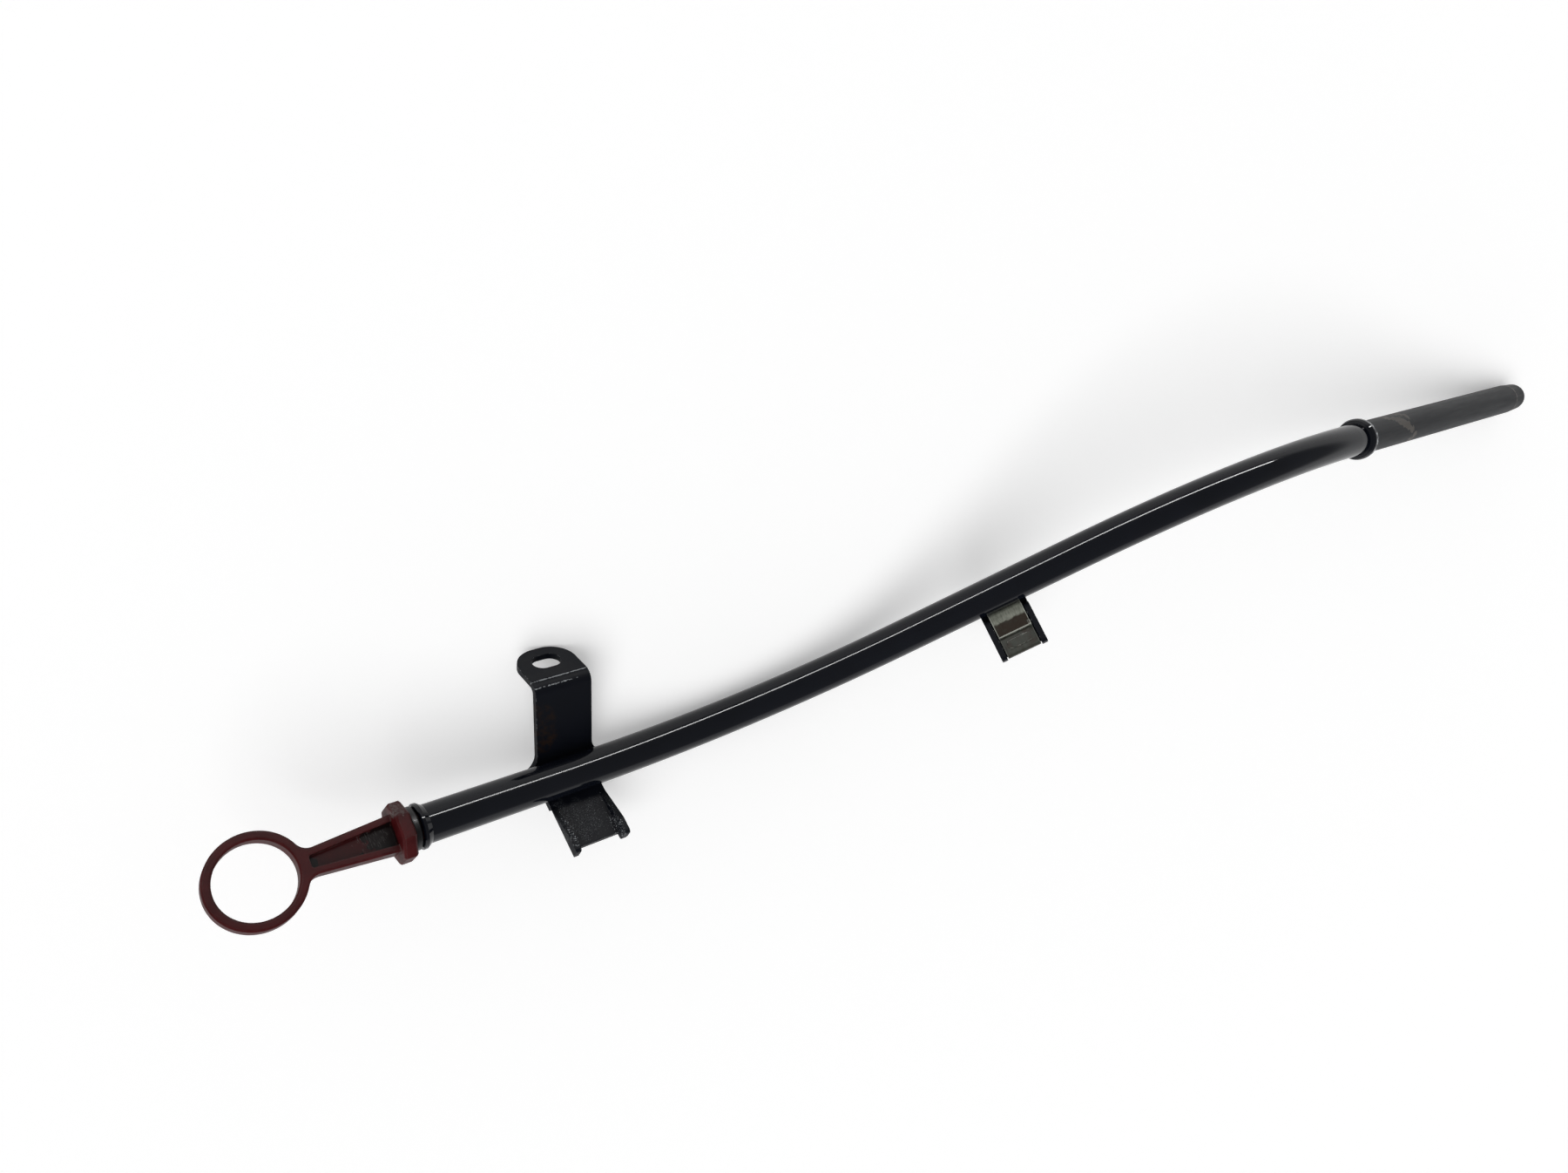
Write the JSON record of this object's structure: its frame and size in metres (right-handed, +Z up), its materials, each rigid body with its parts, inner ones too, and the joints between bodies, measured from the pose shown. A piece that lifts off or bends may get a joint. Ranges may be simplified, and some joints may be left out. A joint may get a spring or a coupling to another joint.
{
  "type": "engine oil dipstick",
  "caption": "Pull-out oil dipstick with a finger-ring handle, seated in a bent steel guide tube that carries a slotted mounting strap and a clip bracket.",
  "frame": {"origin": "middle of the resting box, on the floor it lies on", "axes": "+Z up, +X along the longest extent, from the finger ring to the tube's open end"},
  "size_m": [0.5386, 0.0966, 0.063],
  "materials": {
    "black_tube": "gloss",
    "clip_steel": "satin, oil stained",
    "maroon_plastic": "semi-gloss",
    "black_rubber": "matt",
    "blade_steel": "satin"
  },
  "bodies": {
    "guide": {"guide_tube": "black_tube", "mounting_bracket": "black_tube", "harness_bracket": "black_tube", "harness_clip": "clip_steel"},
    "dipstick": {"dipstick_handle": "maroon_plastic", "mouth_seal": "black_rubber", "plug_o_ring": "black_rubber", "dipstick_blade": "blade_steel"}
  },
  "joints": [
    {"name": "dipstick_pull", "type": "slide", "parent": "guide", "child": "dipstick", "axis": [-0.9533, 0, 0.3019], "range_m": [0, 0.5], "deforming": ["dipstick_blade"]}
  ]
}
